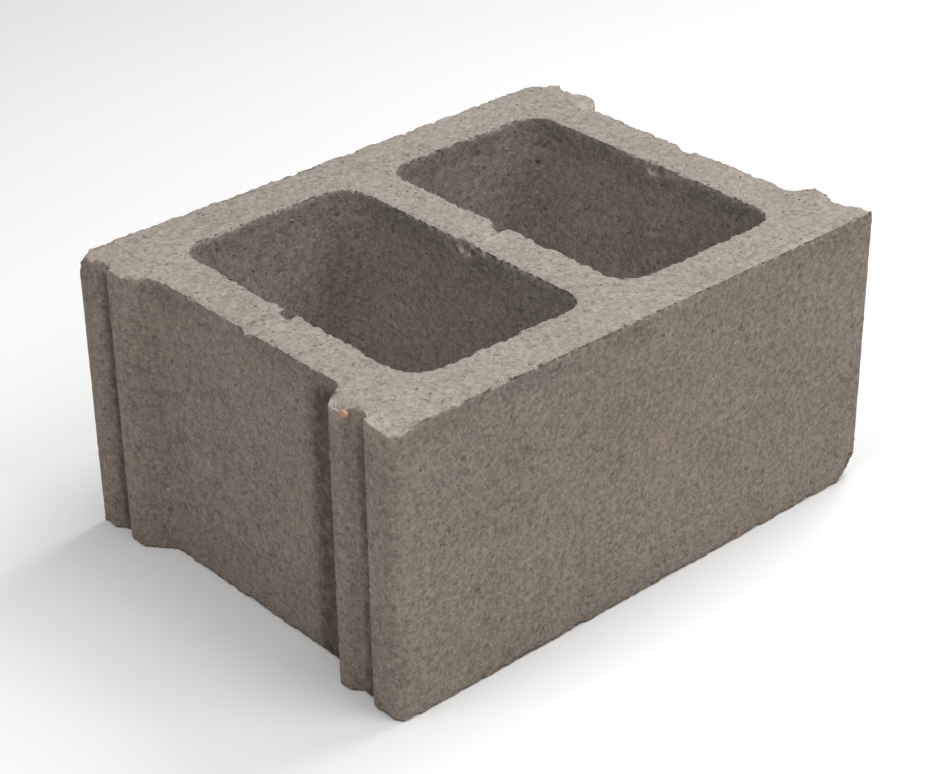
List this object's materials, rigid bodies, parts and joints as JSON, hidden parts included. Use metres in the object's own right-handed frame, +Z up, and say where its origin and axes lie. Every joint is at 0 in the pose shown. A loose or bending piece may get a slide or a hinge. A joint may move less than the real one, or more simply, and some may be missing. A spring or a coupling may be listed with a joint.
{
  "type": "hollow concrete block",
  "caption": "Hollow concrete masonry block with through cores between webs, and grooved ears at both ends.",
  "frame": {"origin": "centre of the bottom face, on the surface the block stands on", "axes": "+X along the block's length, +Y from the front face shell to the rear face shell, +Z up along the cores"},
  "size_m": [0.397, 0.295, 0.194],
  "materials": {
    "concrete": "rough, dry-cast, warm grey-brown"
  },
  "bodies": {
    "root": {"block": "concrete"}
  },
  "joints": []
}
